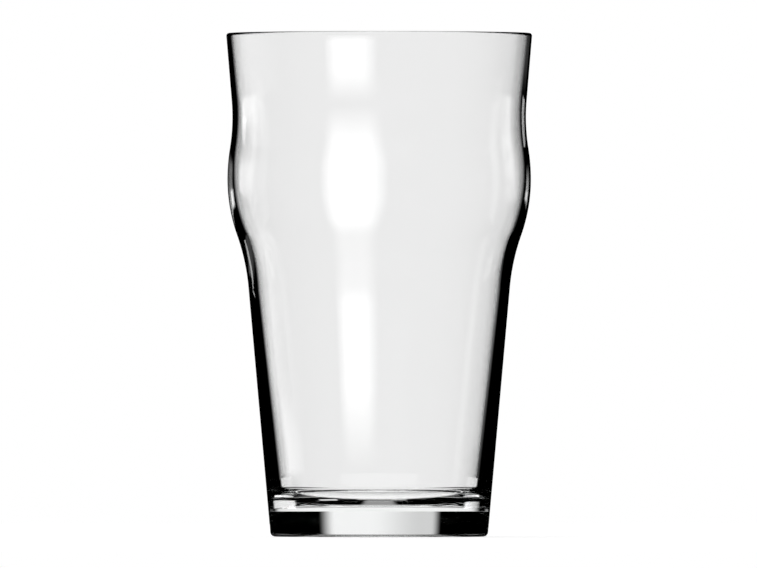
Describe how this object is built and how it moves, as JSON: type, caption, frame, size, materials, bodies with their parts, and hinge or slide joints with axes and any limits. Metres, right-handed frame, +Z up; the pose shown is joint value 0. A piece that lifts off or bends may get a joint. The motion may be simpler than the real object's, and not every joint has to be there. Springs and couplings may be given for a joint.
{
  "type": "pint glass",
  "caption": "Tapered round pint glass with a grip bulge under its flared rim, a thick solid base and a flat foot ring to stand on; holds one imperial pint of beer.",
  "frame": {"origin": "on the axis, on the surface that the foot ring stands on", "axes": "+Z up along the axis of the glass, from the foot to the open rim"},
  "size_m": [0.0898, 0.0898, 0.148],
  "materials": {
    "clear_glass": "clear soda-lime glass, fire-polished and smooth"
  },
  "bodies": {
    "root": {"glass_body": "clear_glass"}
  },
  "joints": []
}
